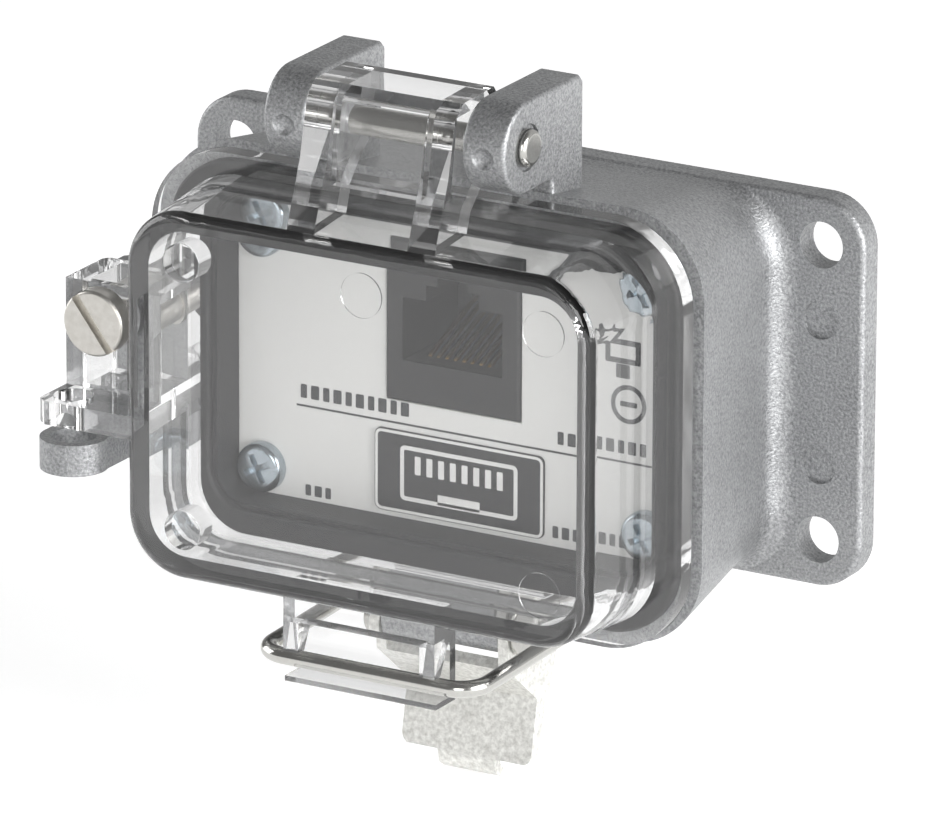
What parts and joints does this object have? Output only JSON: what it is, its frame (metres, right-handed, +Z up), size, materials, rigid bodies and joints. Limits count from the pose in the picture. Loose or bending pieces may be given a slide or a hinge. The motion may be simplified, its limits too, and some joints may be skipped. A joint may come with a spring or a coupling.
{
  "type": "panel-mount data interface port",
  "caption": "Panel-mount network coupler in a cast flange housing, behind a hinged clear cover with a draw latch, a captive lock screw and a padlock eye.",
  "frame": {"origin": "centre of the bolt pattern on the flange's back face, the face that lies on the panel", "axes": "+X to the right seen from the front, +Y into the panel, +Z up; the cover faces -Y"},
  "size_m": [0.08, 0.0496, 0.0793],
  "materials": {
    "die_cast": "fine shot-blasted silver-grey casting",
    "clear_cover": "clear polished polycarbonate",
    "gasket": "black matt rubber",
    "stainless": "bright drawn stainless steel",
    "zinc_plate": "zinc-plated sheet steel with a fine spangle",
    "nickel": "nickel-plated steel",
    "blue_zinc": "blue zinc-plated steel",
    "plate_grey": "light warm-grey moulded plastic",
    "badge_dark": "dark printed label",
    "coupler_black": "black moulded plastic",
    "board_green": "green circuit board",
    "gold": "gold-plated phosphor bronze"
  },
  "bodies": {
    "housing": {"housing": "die_cast", "panel_gasket": "gasket", "rim_gasket": "gasket", "hinge_pin": "stainless", "latch_pin": "stainless", "face_plate": "plate_grey", "label_badge": "badge_dark", "face_plate_screws": "blue_zinc", "coupler_front_shell": "coupler_black", "coupler_rear_shell": "coupler_black", "coupler_board": "board_green", "front_contacts": "gold", "front_contact_comb": "coupler_black", "rear_contacts": "gold", "rear_contact_comb": "coupler_black"},
    "cover": {"cover": "clear_cover"},
    "lock_screw": {"lock_screw": "nickel"},
    "latch_lever": {"latch_lever": "zinc_plate"},
    "latch_bail": {"latch_bail": "stainless"}
  },
  "joints": [
    {"name": "cover_hinge", "type": "hinge", "parent": "housing", "child": "cover", "pos_m": [0, -0.0276, 0.02975], "axis": [-1, 0, 0], "range_deg": [0, 165]},
    {"name": "latch_lever", "type": "hinge", "parent": "housing", "child": "latch_lever", "pos_m": [0, -0.0174, -0.02684], "axis": [-1, 0, 0], "range_deg": [0, 85]},
    {"name": "latch_bail", "type": "hinge", "parent": "latch_lever", "child": "latch_bail", "pos_m": [0, -0.0124, -0.0264], "axis": [-1, 0, 0], "range_deg": [-70, 0]},
    {"name": "lock_screw", "type": "slide", "parent": "cover", "child": "lock_screw", "axis": [0, -1, 0], "range_m": [0, 0.0048]}
  ],
  "couplings": [
    {"joint": "latch_bail", "follows": "latch_lever", "ratio": -0.81}
  ]
}
